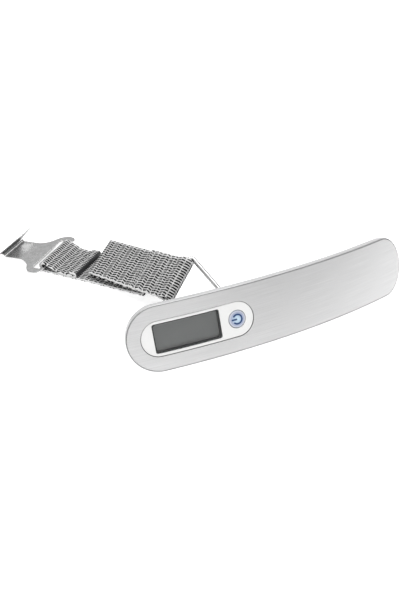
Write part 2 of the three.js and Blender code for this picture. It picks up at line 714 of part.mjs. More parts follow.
/** Lays a flat strap piece, drawn as x along, y across and z up, between two places. */
function layOut(geometry, start, end, startAcross, endAcross, length) {
  const along = end.clone().sub(start).normalize();
  return reshape(geometry, steps(0, length, 12), (x, y, z) => {
    const part = x / length;
    const turn = THREE.MathUtils.clamp(part, 0, 1);
    const across = startAcross.clone().lerp(endAcross, turn).normalize();
    const up = new THREE.Vector3().crossVectors(across, along).normalize();
    if (up.z < 0) {
      up.negate();
    }
    const side = new THREE.Vector3().crossVectors(up, along);
    across.multiplyScalar(Math.sign(across.dot(side)));
    return start.clone().lerp(end, part).addScaledVector(across, y).addScaledVector(up, z);
  });
}

function barMiddle() {
  return EYE_PLACE.clone()
    .addScaledVector(BAIL_FALL, BAIL_HEIGHT)
    .addScaledVector(BAR_DIRECTION, STRAP_ON_BAR - BAR_LENGTH / 2);
}

/** The run from the bail to the left fold, with the loop round the bar sewn down on top. */
function strapUpper() {
  const start = barMiddle();
  const foldUp = new THREE.Vector3()
    .crossVectors(LEFT_FOLD_ACROSS, LEFT_FOLD.clone().sub(start)).normalize();
  const end = LEFT_FOLD.clone().addScaledVector(foldUp, FOLD_GAP + STRAP_THICKNESS);
  const length = end.distanceTo(start);
  const inner = WIRE_RADIUS + 0.65;
  const outer = inner + STRAP_THICKNESS;
  const meet = 7;
  const outline = new THREE.Shape();
  outline.moveTo(length - GAP, -STRAP_THICKNESS);
  outline.lineTo(length - GAP, 0);
  outline.lineTo(FLAP_LENGTH, 0);
  outline.lineTo(FLAP_LENGTH, STRAP_THICKNESS);
  outline.lineTo(meet, STRAP_THICKNESS);
  outline.absarc(0, 0, outer, 0.4 * Math.PI, 1.6 * Math.PI);
  outline.lineTo(meet, -STRAP_THICKNESS);
  const loop = new THREE.Path();
  loop.absarc(0, 0, inner, 0.35 * Math.PI, 1.65 * Math.PI);
  loop.lineTo(meet - 1, 0);
  outline.holes.push(loop);
  const flat = slab(outline, -STRAP_WIDTH / 2, STRAP_WIDTH / 2);
  const laid = layOut(flat, start, end, BAR_DIRECTION.clone().negate(), LEFT_FOLD_ACROSS, length);
  return named('strap_upper', laid, webbing());
}

function strapMiddle() {
  const up = new THREE.Vector3()
    .crossVectors(LEFT_FOLD_ACROSS, LEFT_FOLD.clone().sub(RIGHT_FOLD)).normalize();
  const start = LEFT_FOLD.clone().addScaledVector(up, -FOLD_GAP - STRAP_THICKNESS);
  const end = RIGHT_FOLD.clone();
  end.z += FOLD_GAP;
  const length = end.distanceTo(start);
  const flat = box(GAP, length - GAP, -STRAP_WIDTH / 2, STRAP_WIDTH / 2, 0, STRAP_THICKNESS);
  const laid = layOut(flat, start, end, LEFT_FOLD_ACROSS, RIGHT_FOLD_ACROSS, length);
  return named('strap_middle', laid, webbing());
}

/** The run on the ground, with the loop round the hook's bar and its hemmed return. */
function strapLower() {
  const start = RIGHT_FOLD.clone();
  start.z -= FOLD_GAP + STRAP_THICKNESS;
  const length = HOOK_BAR_FOOT.distanceTo(start);
  const hemStart = 39.8;
  const meet = length - 9;
  const inner = 1.8;
  const outer = inner + STRAP_THICKNESS;
  const outline = new THREE.Shape();
  outline.moveTo(GAP, 0);
  outline.lineTo(length, 0);
  outline.absarc(length, HOOK_BAR_RISE, outer, -0.5 * Math.PI, 0.6 * Math.PI);
  outline.lineTo(meet, 2 * STRAP_THICKNESS);
  outline.lineTo(hemStart + HEM_LENGTH, 2 * STRAP_THICKNESS);
  outline.lineTo(hemStart + HEM_LENGTH, 3 * STRAP_THICKNESS);
  outline.lineTo(hemStart, 3 * STRAP_THICKNESS);
  outline.lineTo(hemStart, STRAP_THICKNESS);
  outline.lineTo(GAP, STRAP_THICKNESS);
  const loop = new THREE.Path();
  loop.absarc(length, HOOK_BAR_RISE, inner, -0.5 * Math.PI, 0.65 * Math.PI);
  loop.lineTo(meet + 1, STRAP_THICKNESS);
  outline.holes.push(loop);
  const flat = slab(outline, -STRAP_WIDTH / 2, STRAP_WIDTH / 2);
  const laid = layOut(flat, start, HOOK_BAR_FOOT, RIGHT_FOLD_ACROSS, HOOK_BAR_ACROSS, length);
  return named('strap_lower', laid, webbing());
}

/** The stamped hook: a slotted head, a waisted neck and a curled-up lip. */
function hookPlate() {
  const lipEnd = HOOK_CURL_START + HOOK_CURL_RADIUS * HOOK_CURL + HOOK_LIP;
  const halfHead = 19;
  const halfNeck = 8.8;
  const halfLip = 14.7;
  const curlCuts = Array.from({ length: 9 }, (_, i) => (
    HOOK_CURL_START + HOOK_CURL_RADIUS * HOOK_CURL * (i / 8)));
  const flare = (x) => {
    const share = (x - HOOK_CURL_START) / (lipEnd - 0.9 - HOOK_CURL_START);
    return halfNeck + (halfLip - halfNeck) * share ** 3;
  };
  const outline = new THREE.Shape();
  outline.moveTo(-1.2, -halfHead + 4);
  outline.quadraticCurveTo(-1.2, -halfHead, 3, -halfHead);
  outline.quadraticCurveTo(8, -halfHead, 10.5, -halfHead + 5);
  outline.quadraticCurveTo(13, -halfNeck - 1, 18, -halfNeck);
  curlCuts.forEach((x) => outline.lineTo(x, -flare(x)));
  outline.lineTo(lipEnd - 0.9, -halfLip);
  outline.lineTo(lipEnd, -halfLip);
  outline.lineTo(lipEnd, halfLip);
  outline.lineTo(lipEnd - 0.9, halfLip);
  curlCuts.slice().reverse().forEach((x) => outline.lineTo(x, flare(x)));
  outline.lineTo(18, halfNeck);
  outline.quadraticCurveTo(13, halfNeck + 1, 10.5, halfHead - 5);
  outline.quadraticCurveTo(8, halfHead, 3, halfHead);
  outline.quadraticCurveTo(-1.2, halfHead, -1.2, halfHead - 4);
  const slot = new THREE.Path();
  slot.moveTo(1.2, -14.5);
  slot.lineTo(6.3, -14.5);
  slot.lineTo(6.3, 14.5);
  slot.lineTo(1.2, 14.5);
  outline.holes.push(slot);
  const flat = new THREE.ExtrudeGeometry(outline, {
    depth: HOOK_THICKNESS,
    bevelEnabled: false,
    curveSegments: 8,
  });
  flat.translate(0, 0, -HOOK_THICKNESS / 2);
  const curled = reshape(flat, curlCuts, (x, y, z) => {
    const angle = THREE.MathUtils.clamp((x - HOOK_CURL_START) / HOOK_CURL_RADIUS, 0, HOOK_CURL);
    const past = x - Math.max(HOOK_CURL_START, 0) - angle * HOOK_CURL_RADIUS;
    const radius = HOOK_CURL_RADIUS - z;
    return new THREE.Vector3(
      HOOK_CURL_START + radius * Math.sin(angle) + past * Math.cos(angle),
      y,
      HOOK_CURL_RADIUS - radius * Math.cos(angle) + past * Math.sin(angle),
    );
  });
  const mesh = named('hook_plate', curled, stampedSteel());
  const legUp = new THREE.Vector3()
    .crossVectors(HOOK_BAR_ACROSS, HOOK_BAR_FOOT.clone().sub(RIGHT_FOLD)).normalize();
  const barCentre = HOOK_BAR_FOOT.clone().addScaledVector(legUp, HOOK_BAR_RISE);
  const toBend = HOOK_BEND.clone().sub(barCentre);
  const up = new THREE.Vector3().crossVectors(HOOK_BAR_ACROSS, toBend).normalize();
  const side = HOOK_BAR_ACROSS.clone().negate();
  const along = new THREE.Vector3().crossVectors(side, up);
  mesh.setRotationFromMatrix(new THREE.Matrix4().makeBasis(along, side, up));
  mesh.position.copy(barCentre);
  return mesh;
}

// ---------------------------------------------------------------- assembly

const handle = new THREE.Group();
handle.rotation.x = -LEAN;
handle.position.set(0, HALF_WIDTH * Math.sin(LEAN), HALF_WIDTH * Math.cos(LEAN) + GROUND_LIFT);
handle.add(frontPlate(), frontHousing(), rearShell(), batteryCover());
handle.add(bezel(), displayLens(), displayParts(), powerButton());
handle.add(circuitBoard(), tactSwitch(), loadCell(), hanger(), battery(), leads());
CASE_SCREWS.forEach((along, i) => handle.add(caseScrew(along, i + 1)));

const scale = new THREE.Group();
scale.add(handle, wireBail(), strapUpper(), strapMiddle(), strapLower(), hookPlate());

// The origin is on the ground, under the middle of the whole object.
const bounds = new THREE.Box3().setFromObject(scale, true);
const middle = bounds.getCenter(new THREE.Vector3());
scale.position.set(-middle.x, -middle.y, -bounds.min.z);

export default scale;
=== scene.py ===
"""Digital luggage scale: a bowed steel-faced handle, a wire bail, a folded webbing strap and a hook."""

import json
import math

import bmesh
import bpy
from mathutils import Matrix, Vector


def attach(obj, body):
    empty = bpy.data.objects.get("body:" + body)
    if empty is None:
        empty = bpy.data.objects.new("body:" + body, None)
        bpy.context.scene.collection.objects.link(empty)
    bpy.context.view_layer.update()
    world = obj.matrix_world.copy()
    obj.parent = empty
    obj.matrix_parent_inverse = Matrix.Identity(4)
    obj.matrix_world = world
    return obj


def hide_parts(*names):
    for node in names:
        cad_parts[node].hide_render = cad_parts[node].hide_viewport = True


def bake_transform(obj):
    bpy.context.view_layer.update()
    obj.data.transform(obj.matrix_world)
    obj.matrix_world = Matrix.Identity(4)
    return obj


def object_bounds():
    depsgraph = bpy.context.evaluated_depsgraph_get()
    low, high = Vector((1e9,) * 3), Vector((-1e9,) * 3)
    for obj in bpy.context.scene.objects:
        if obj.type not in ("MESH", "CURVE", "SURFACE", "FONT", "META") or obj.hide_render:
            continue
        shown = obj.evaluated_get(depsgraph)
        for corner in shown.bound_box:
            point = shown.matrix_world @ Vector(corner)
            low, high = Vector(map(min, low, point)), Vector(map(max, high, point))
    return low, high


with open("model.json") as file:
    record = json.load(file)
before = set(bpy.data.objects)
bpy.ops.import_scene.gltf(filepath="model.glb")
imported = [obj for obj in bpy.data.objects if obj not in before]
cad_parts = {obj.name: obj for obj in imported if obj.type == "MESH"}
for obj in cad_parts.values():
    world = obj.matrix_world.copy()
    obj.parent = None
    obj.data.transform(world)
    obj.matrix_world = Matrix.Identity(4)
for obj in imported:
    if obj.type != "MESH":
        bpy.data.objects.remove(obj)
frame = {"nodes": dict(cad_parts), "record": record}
cad_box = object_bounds()
joints = {joint["name"]: joint for joint in frame["record"]["behaviour"]["joints"]}

# ---------------------------------------------------------------- places, in millimetres


def place(joint):
    """Where a joint is, in millimetres."""
    return Vector(joints[joint]["pos_m"]) * 1000


def line(joint):
    """Which way a joint's axis runs."""
    return Vector(joints[joint]["axis"])


LEAN = math.radians(19.2)
BOW_RADIUS = 252
HALF_WIDTH = 15
HALF_STRAIGHT = 63.6
EYE = place("bail_swing")
HANDLE = Matrix.Translation(EYE + Vector((19.1, -27.267, 9.766))) @ Matrix.Rotation(-LEAN, 4, "X")
IN_PLACE = Matrix.Identity(4)


def bow(point):
    """A point of the bowed handle, from its place along, into and up the straight one."""
    angle = point.x / BOW_RADIUS
    radius = BOW_RADIUS - point.y
    return HANDLE @ Vector((radius * math.sin(angle), BOW_RADIUS - radius * math.cos(angle), point.z))


def station(along):
    """The frame whose Y runs straight into the handle at one place along the bow."""
    angle = along / BOW_RADIUS
    foot = Vector((BOW_RADIUS * math.sin(angle), BOW_RADIUS * (1 - math.cos(angle)), 0))
    return HANDLE @ Matrix.Translation(foot) @ Matrix.Rotation(angle, 4, "Z")


# ---------------------------------------------------------------- mesh helpers


def new_piece(name, mesh):
    piece = bpy.data.objects.new(name.replace(" ", "_"), mesh)
    bpy.context.scene.collection.objects.link(piece)
    return piece


def from_bmesh(name, work):
    mesh = bpy.data.meshes.new(name)
    work.to_mesh(mesh)
    work.free()
    return new_piece(name, mesh)


def bake(piece):
    """Makes a piece's modifiers part of its mesh."""
    graph = bpy.context.evaluated_depsgraph_get()
    mesh = bpy.data.meshes.new_from_object(piece.evaluated_get(graph))
    piece.modifiers.clear()
    piece.data = mesh
    return piece


def carve(piece, tools):
    for tool in tools:
        cut = piece.modifiers.new("cut", "BOOLEAN")
        cut.operation = "DIFFERENCE"
        cut.solver = "EXACT"
        cut.object = tool
        bake(piece)
        bpy.data.objects.remove(tool)
    return piece


def soften(piece, width, segments=2, angle=40):
    edge = piece.modifiers.new("edges", "BEVEL")
    edge.width = width
    edge.segments = segments
    edge.limit_method = "ANGLE"
    edge.angle_limit = math.radians(angle)
    edge.harden_normals = False
    return bake(piece)


def loft(name, rings, closed=False):
    """Skins rings of corners; the ends are capped unless the last ring joins the first."""
    work = bmesh.new()
    rows = [[work.verts.new(corner) for corner in ring] for ring in rings]
    pairs = list(zip(rows, rows[1:] + rows[:1] if closed else rows[1:]))
    for lower, upper in pairs:
        for i in range(len(lower)):
            j = (i + 1) % len(lower)
            work.faces.new((lower[i], lower[j], upper[j], upper[i]))
    if not closed:
        work.faces.new(rows[0][::-1])
        work.faces.new(rows[-1])
    bmesh.ops.recalc_face_normals(work, faces=work.faces)
    return from_bmesh(name, work)


def stadium(left, right, radius, turns=28):
    """Corners (along, up) of an outline with two round ends."""
    corners = []
    for i in range(turns + 1):
        angle = math.pi / 2 + math.pi * i / turns
        corners.append((left + radius * math.cos(angle), radius * math.sin(angle)))
    for i in range(turns + 1):
        angle = -math.pi / 2 + math.pi * i / turns
        corners.append((right + radius * math.cos(angle), radius * math.sin(angle)))
    return corners


def rounded(middle, half_length, half_height, radius, turns=8):
    """Corners (along, up) of a rectangle with rounded corners."""
    corners = []
    for quarter, (sx, sz) in enumerate(((1, 1), (-1, 1), (-1, -1), (1, -1))):
        cx = middle + sx * (half_length - radius)
        cz = sz * (half_height - radius)
        for i in range(turns + 1):
            angle = math.pi / 2 * (quarter + i / turns)
            corners.append((cx + radius * math.cos(angle), cz + radius * math.sin(angle)))
    return corners


def circle(middle, radius, turns=64):
    return [
        (middle + radius * math.cos(2 * math.pi * i / turns), radius * math.sin(2 * math.pi * i / turns))
        for i in range(turns)
    ]


def at(depth, outline):
    return [(x, depth, z) for x, z in outline]


def slab(name, outline, front, back):
    return loft(name, [at(front, outline), at(back, outline)])


def casing(name, profile):
    """The handle's outline, lofted through (depth, radius) steps."""
    return loft(name, [at(depth, stadium(-HALF_STRAIGHT, HALF_STRAIGHT, r)) for depth, r in profile])


def shape(piece, cuts, move):
    """Slices a piece at the cuts along x, keeps its flat place as a map, and moves every point."""
    work = bmesh.new()
    work.from_mesh(piece.data)
    for x in cuts:
        everything = work.verts[:] + work.edges[:] + work.faces[:]
        bmesh.ops.bisect_plane(work, geom=everything, dist=1e-4, plane_co=(x, 0, 0), plane_no=(1, 0, 0))
    layer = work.loops.layers.uv.get("Flat") or work.loops.layers.uv.new("Flat")
    for face in work.faces:
        across = abs(face.normal.z) > 0.8
        for loop in face.loops:
            spot = loop.vert.co
            loop[layer].uv = (spot.x, spot.y if across else spot.z)
    for vertex in work.verts:
        vertex.co = move(vertex.co.copy()) / 1000
    bmesh.ops.recalc_face_normals(work, faces=work.faces)
    work.to_mesh(piece.data)
    work.free()
    return piece


def bowed(piece, step=1.5):
    count = int(78 / step)
    return shape(piece, [step * i for i in range(-count, count + 1)], bow)


def fixed(piece, matrix):
    return shape(piece, [], lambda point: matrix @ point)


def smooth(piece, angle=35, weighted=True):
    for face in piece.data.polygons:
        face.use_smooth = True
    piece.data.set_sharp_from_angle(angle=math.radians(angle))
    if weighted:
        normals = piece.modifiers.new("normals", "WEIGHTED_NORMAL")
        normals.keep_sharp = True
        normals.weight = 100
    return piece


def finish_piece(piece, material, body, slot, *nodes, angle=35):
    piece.data.materials.clear()
    piece.data.materials.append(material)
    smooth(piece, angle)
    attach(piece, body)
    if nodes:
        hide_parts(*nodes)
    return piece


# ---------------------------------------------------------------- materials


PICK_PITCH = 1.5  # mm across the webbing from one dark pick to the next
ROW_PITCH = 2.9  # mm along it from one row to the next, each slanting the other way


class Shader:
    """A node material, built a few nodes at a time."""

    def __init__(self, name):
        self.material = bpy.data.materials.new(name)
        self.material.use_nodes = True
        self.tree = self.material.node_tree
        self.skin = self.tree.nodes["Principled BSDF"]

    def add(self, kind, **values):
        node = self.tree.nodes.new(kind)
        for key, value in values.items():
            if hasattr(node, key):
                setattr(node, key, value)
            else:
                node.inputs[key.replace("_", " ")].default_value = value
        return node

    def link(self, output, socket):
        self.tree.links.new(output, socket)

    def set(self, **values):
        for key, value in values.items():
            self.skin.inputs[key.replace("_", " ")].default_value = value

    def flat(self, sx, sy, layer="Flat"):
        """The piece's flat map, scaled."""
        uv = self.add("ShaderNodeUVMap", uv_map=layer)
        mapping = self.add("ShaderNodeMapping")
        mapping.inputs["Scale"].default_value = (sx, sy, 1)
        self.link(uv.outputs["UV"], mapping.inputs["Vector"])
        return mapping.outputs["Vector"]

    def solid(self, scale):
        """The piece's own coordinates, scaled."""
        coordinates = self.add("ShaderNodeTexCoord")
        mapping = self.add("ShaderNodeMapping")
        mapping.inputs["Scale"].default_value = (scale, scale, scale)
        self.link(coordinates.outputs["Object"], mapping.inputs["Vector"])
        return mapping.outputs["Vector"]

    def noise(self, vector, scale=1.0, detail=3.0, rough=0.5):
        node = self.add("ShaderNodeTexNoise")
        node.inputs["Scale"].default_value = scale
        node.inputs["Detail"].default_value = detail
        node.inputs["Roughness"].default_value = rough
        self.link(vector, node.inputs["Vector"])
        return node.outputs["Fac"]

    def ramp(self, value, stops):
        node = self.add("ShaderNodeValToRGB")
        elements = node.color_ramp.elements
        while len(elements) < len(stops):
            elements.new(0.5)
        for element, (position, colour) in zip(elements, stops):
            element.position = position
            element.color = (*colour, 1) if hasattr(colour, "__len__") else (colour,) * 3 + (1,)
        self.link(value, node.inputs["Fac"])
        return node.outputs["Color"]

    def spread(self, value, low, high, from_low=0.0, from_high=1.0):
        node = self.add("ShaderNodeMapRange")
        node.inputs["From Min"].default_value = from_low
        node.inputs["From Max"].default_value = from_high
        node.inputs["To Min"].default_value = low
        node.inputs["To Max"].default_value = high
        self.link(value, node.inputs["Value"])
        return node.outputs["Result"]

    def math(self, operation, a, b):
        node = self.add("ShaderNodeMath", operation=operation)
        for socket, value in zip(node.inputs, (a, b)):
            if isinstance(value, (int, float)):
                socket.default_value = value
            else:
                self.link(value, socket)
        return node.outputs[0]

    def bump(self, height, distance, strength=1.0):
        node = self.add("ShaderNodeBump")
        node.inputs["Distance"].default_value = distance
        node.inputs["Strength"].default_value = strength
        self.link(height, node.inputs["Height"])
        self.link(node.outputs["Normal"], self.skin.inputs["Normal"])
        return node


def brushed_steel():
    s = Shader("brushed steel")
    s.set(Metallic=1.0)
    fine = s.noise(s.flat(0.035, 9), 1, 4, 0.6)
    broad = s.noise(s.flat(0.012, 0.9), 1, 2)
    shades = s.ramp(fine, [(0.3, (0.48, 0.48, 0.482)), (0.7, (0.62, 0.62, 0.622))])
    s.link(shades, s.skin.inputs["Base Color"])
    streaks = s.math("ADD", s.math("MULTIPLY", fine, 0.6), s.math("MULTIPLY", broad, 0.4))
    s.link(s.spread(streaks, 0.24, 0.46), s.skin.inputs["Roughness"])
    s.bump(fine, 0.00002, 0.6)
    return s.material


def satin_paint(name, colour, metallic, roughness, grain=2200, depth=0.00001):
    """Sprayed or moulded surfaces: a fine grain with slow changes of gloss."""
    s = Shader(name)
    s.set(Metallic=metallic)
    slow = s.noise(s.solid(60), 1, 2)
    fine = s.noise(s.solid(grain), 1, 2)
    dark = tuple(c * 0.95 for c in colour)
    s.link(s.ramp(slow, [(0.3, dark), (0.7, colour)]), s.skin.inputs["Base Color"])
    s.link(s.spread(slow, roughness - 0.04, roughness + 0.05), s.skin.inputs["Roughness"])
    s.bump(fine, depth, 0.5)
    return s.material


def plated_steel(name, colour, roughness, dents=250, depth=0.00004, grazing=0.6):
    """Plated wire and stampings: bright, with soft tumbling marks and darker at a glancing angle."""
    s = Shader(name)
    s.set(Metallic=1.0)
    s.skin.inputs["Specular Tint"].default_value = (grazing, grazing, grazing, 1)
    soft = s.noise(s.solid(dents), 1, 3)
    scratch = s.noise(s.solid(1500), 1, 2)
    dark = tuple(c * 0.85 for c in colour)
    s.link(s.ramp(soft, [(0.25, dark), (0.75, colour)]), s.skin.inputs["Base Color"])
    s.link(s.spread(scratch, roughness - 0.05, roughness + 0.08), s.skin.inputs["Roughness"])
    s.bump(soft, depth, 0.5)
    return s.material


def clear_window():
    s = Shader("clear window")
    glass = s.add("ShaderNodeBsdfTransparent")
    glass.inputs["Color"].default_value = (0.93, 0.94, 0.94, 1)
    gloss = s.add("ShaderNodeBsdfGlossy")
    gloss.inputs["Roughness"].default_value = 0.06
    rim = s.add("ShaderNodeFresnel")
    rim.inputs["IOR"].default_value = 1.45
    mix = s.add("ShaderNodeMixShader")
    s.link(rim.outputs["Fac"], mix.inputs["Fac"])
    s.link(glass.outputs[0], mix.inputs[1])
    s.link(gloss.outputs[0], mix.inputs[2])
    s.link(mix.outputs[0], s.tree.nodes["Material Output"].inputs["Surface"])
    return s.material


def display_glass():
    s = Shader("liquid crystal")
    s.set(Roughness=0.45)
    s.skin.inputs["Specular IOR Level"].default_value = 0.35
    cloud = s.noise(s.solid(120), 1, 2)
    shades = s.ramp(cloud, [(0.2, (0.275, 0.272, 0.27)), (0.8, (0.31, 0.306, 0.303))])
    s.link(shades, s.skin.inputs["Base Color"])
    return s.material


def tweed():
    """Coarse webbing: short black picks on a pale ground, in rows across the width that slant one way
    and then the other, with a pale selvedge. The map runs in millimetres, across and then along."""
    s = Shader("tweed webbing")
    s.set(Roughness=0.88)
    s.skin.inputs["Specular IOR Level"].default_value = 0.2
    uv = s.add("ShaderNodeUVMap", uv_map="Strap")
    wobble = s.add("ShaderNodeTexNoise")
    wobble.inputs["Scale"].default_value = 0.55
    s.link(uv.outputs["UV"], wobble.inputs["Vector"])
    parts = s.add("ShaderNodeSeparateXYZ")
    s.link(uv.outputs["UV"], parts.inputs[0])
    sway = s.math("MULTIPLY", s.math("SUBTRACT", wobble.outputs["Fac"], 0.5), 0.5)
    across = s.math("ADD", parts.outputs["X"], sway)
    along = s.math("ADD", parts.outputs["Y"], sway)
    zigzag = s.math("PINGPONG", along, ROW_PITCH)
    phase = s.math("ADD", s.math("DIVIDE", across, PICK_PITCH), s.math("MULTIPLY", zigzag, 0.5 / ROW_PITCH))
    pick = s.spread(s.math("SINE", s.math("MULTIPLY", phase, 2 * math.pi), 0), 0, 1, -1, 1)
    row = s.math("ABSOLUTE", s.math("SINE", s.math("MULTIPLY", along, math.pi / ROW_PITCH), 0), 0)
    hair = s.noise(s.flat(5, 9, "Strap"), 1, 3)
    dash = s.math("MULTIPLY", s.spread(pick, 0.0, 1.0, 0.22, 0.72), s.spread(row, 0.05, 1.0, 0.14, 0.6))
    fleck = s.noise(s.flat(1.1, 0.6, "Strap"), 1, 1)
    strands = s.math("MULTIPLY", s.math("SUBTRACT", hair, 0.5), 1.0)
    flecks = s.math("MULTIPLY", s.math("SUBTRACT", fleck, 0.45), 0.5)
    stray = s.math("ADD", strands, flecks)
    dark = s.math("ADD", dash, stray)
    edge = s.math("ABSOLUTE", s.math("SUBTRACT", s.math("PINGPONG", parts.outputs["X"], 24.8), 12.4), 0)
    selvedge = s.spread(edge, 0.0, 0.6, 11.3, 12.2)
    dark = s.math("SUBTRACT", dark, selvedge)
    shades = s.ramp(dark, [(-0.0, 0.66), (0.14, 0.33), (0.36, 0.08), (0.6, 0.008)])
    s.link(shades, s.skin.inputs["Base Color"])
    ribs = s.math("ADD", s.math("MULTIPLY", row, 0.5), s.math("MULTIPLY", hair, 0.25))
    height = s.math("ADD", s.math("MULTIPLY", s.math("SUBTRACT", 1.0, pick), 0.6), ribs)
    s.bump(height, 0.0003, 0.8)
    return s.material


def thread():
    s = Shader("stitching thread")
    s.set(Roughness=0.7)
    twist = s.noise(s.solid(3000), 1, 2)
    s.link(s.ramp(twist, [(0.3, 0.30), (0.7, 0.62)]), s.skin.inputs["Base Color"])
    s.bump(twist, 0.00005, 0.6)
    return s.material


def pale_button():
    """Translucent pale blue, deeper in colour toward its edge."""
    s = Shader("pale blue button")
    s.set(Roughness=0.25)
    reach = s.add("ShaderNodeVectorMath", operation="LENGTH")
    s.link(s.flat(1, 1), reach.inputs[0])
    share = s.spread(reach.outputs["Value"], 0, 1, 0, 3.9)
    tints = [
        (0.0, (0.50, 0.63, 0.72)),
        (0.45, (0.38, 0.50, 0.64)),
        (0.78, (0.32, 0.35, 0.47)),
        (0.95, (0.50, 0.52, 0.58)),
    ]
    s.link(s.ramp(share, tints), s.skin.inputs["Base Color"])
    return s.material


STEEL_FACE = brushed_steel()
SHELL = satin_paint("satin silver shell", (0.56, 0.56, 0.565), 0.25, 0.34)
WHITE = satin_paint("gloss white trim", (0.72, 0.72, 0.715), 0.0, 0.16, depth=0.000003)
CLEAR = clear_window()
DISPLAY = display_glass()
BLUE = pale_button()
ICON = satin_paint("dark blue icon", (0.004, 0.035, 0.13), 0.0, 0.4, depth=0.000002)
BLACK = satin_paint("black plastic", (0.02, 0.02, 0.022), 0.0, 0.5)
BOARD = satin_paint("circuit board", (0.03, 0.16, 0.07), 0.0, 0.35)
ALUMINIUM = plated_steel("machined aluminium", (0.72, 0.73, 0.74), 0.34)
FOIL = satin_paint("gauge foil", (0.55, 0.33, 0.12), 0.2, 0.4)
NICKEL = plated_steel("bright nickel", (0.60, 0.60, 0.60), 0.12, grazing=0.02)
STAMPED = plated_steel("tumbled nickel", (0.74, 0.74, 0.74), 0.22, dents=420, depth=0.00006, grazing=0.3)
RED = satin_paint("red insulation", (0.45, 0.03, 0.02), 0.0, 0.35)
WEBBING = tweed()
THREAD = thread()

# ---------------------------------------------------------------- camera

camera_data = bpy.data.cameras.new("camera")
camera_data.lens = 41.93
camera_data.sensor_width = 36
camera = bpy.data.objects.new("camera", camera_data)
bpy.context.scene.collection.objects.link(camera)
right = Vector((0.8688, -0.4952, 0.0)).normalized()
up = Vector((0.2606, 0.4573, 0.8503)).normalized()
turn = Matrix((right, up, right.cross(up))).transposed()
spot = (EYE + Vector((-150.3, -241.3, 178.2))) / 1000
camera.matrix_world = Matrix.Translation(spot) @ turn.to_4x4()
bpy.context.scene.camera = camera

# ---------------------------------------------------------------- handle casing

PLATE_RADIUS = 14.4
BUTTON_STATION = -27.9
BEZEL = (-64, BUTTON_STATION, 7.87)
WINDOW_STATION = -51.05
BAIL_WIRE = 1.15


def front_plate():
    profile = [(0.25, PLATE_RADIUS), (0.08, PLATE_RADIUS - 0.06), (0.0, PLATE_RADIUS - 0.22)]
    piece = casing("plate", [(0.6, PLATE_RADIUS), *profile])
    hole = slab("tool", stadium(BEZEL[0], BEZEL[1], BEZEL[2] + 0.2), -1, 2)
    piece = bowed(soften(carve(piece, [hole]), 0.12, 2, 50))
    finish_piece(piece, STEEL_FACE, "handle", "brushed_plate", "front_plate")


def front_housing():
    edge = 0.5
    pulled_in = [(0.02, 0.5), (0.1, 0.28), (0.3, 0.09), (0.02 + edge, 0)]
    rounding = [(depth, HALF_WIDTH - inset) for depth, inset in pulled_in]
    piece = casing("housing", [*rounding, (4.0, HALF_WIDTH), (4.2, HALF_WIDTH - 0.13)])
    recess = casing("tool", [(-1, PLATE_RADIUS + 0.2), (0.8, PLATE_RADIUS + 0.2)])
    cavity = casing("tool", [(2.3, HALF_WIDTH - 1.6), (17, HALF_WIDTH - 1.6)])
    hole = slab("tool", stadium(BEZEL[0], BEZEL[1], BEZEL[2] + 0.2), 0, 5)
    piece = bowed(soften(carve(piece, [recess, cavity, hole]), 0.08, 2, 50))
    finish_piece(piece, SHELL, "handle", "handle_shell", "front_housing")


def bezel():
    piece = slab("bezel", stadium(*BEZEL[:2], BEZEL[2]), 0.3, 3.2)
    window = slab("tool", rounded(WINDOW_STATION, 15.25, 6.65, 1.0), -1, 5)
    hole = slab("tool", circle(BUTTON_STATION, 4.15), -1, 6)
    piece = bowed(soften(carve(piece, [window, hole]), 0.18, 3, 40))
    finish_piece(piece, WHITE, "handle", "white_trim", "display_bezel")


def lens_and_panel():
    lens = bowed(slab("lens", rounded(WINDOW_STATION, 15.2, 6.6, 1.0), 0.7, 1.15))
    finish_piece(lens, CLEAR, "handle", "clear_window", "display_lens")
    # A black frame behind the lens: its edges, seen at the bottom and right of the window, are painted shade
    # in the recess.
    recess_shade_frame = slab("recess_shade_frame", rounded(WINDOW_STATION, 15.22, 6.62, 1.0), 1.2, 3.4)
    opening = slab("tool", rounded(WINDOW_STATION, 14.7, 6.1, 1.4), 0, 5)
    recess_shade_frame = bowed(carve(recess_shade_frame, [opening]))
    finish_piece(recess_shade_frame, BLACK, "handle", "black_plastic")


def adhesive_gap_shade():
    """A dark film that holds the steel plate, seen only in the fine gap round its edge, where it is painted
    shade for the gap.
    """
    piece = casing("plate gap shade film", [(0.63, PLATE_RADIUS + 0.17), (0.78, PLATE_RADIUS + 0.17)])
    hole = slab("tool", stadium(BEZEL[0], BEZEL[1], BEZEL[2] + 0.03), -1, 2)
    piece = bowed(carve(piece, [hole]))
    finish_piece(piece, BLACK, "handle", "black_plastic")


def button():
    """A shallow domed cap, with the on and standby mark turned on its side."""
    steps = [
        (3.9, 2.4), (3.9, 0.62), (3.86, 0.46), (3.74, 0.34),
        (3.5, 0.25), (2.8, 0.17), (1.8, 0.12), (0.9, 0.09),
    ]
    rings = [at(depth, circle(0, radius, 72)) for radius, depth in steps]
    cap = fixed(loft("cap", rings), station(BUTTON_STATION))
    finish_piece(cap, BLUE, "button", "button_blue", "power_button", angle=60)
    outline = []
    gap = math.radians(36)
    count = 40
    for radius, way in ((2.5, 1), (1.75, -1)):
        turns = [gap + (2 * math.pi - 2 * gap) * i / count for i in range(count + 1)][::way]
        outline += [(-radius * math.cos(a), radius * math.sin(a)) for a in turns]
    ring = loft("icon ring", [at(0.02, outline), at(0.3, outline)])
    bar = slab("icon bar", rounded(-1.45, 1.3, 0.37, 0.2), 0.02, 0.3)
    for part in (ring, bar):
        fixed(part, station(BUTTON_STATION))
        finish_piece(part, ICON, "button", "button_blue")


# ---------------------------------------------------------------- hanger and bail


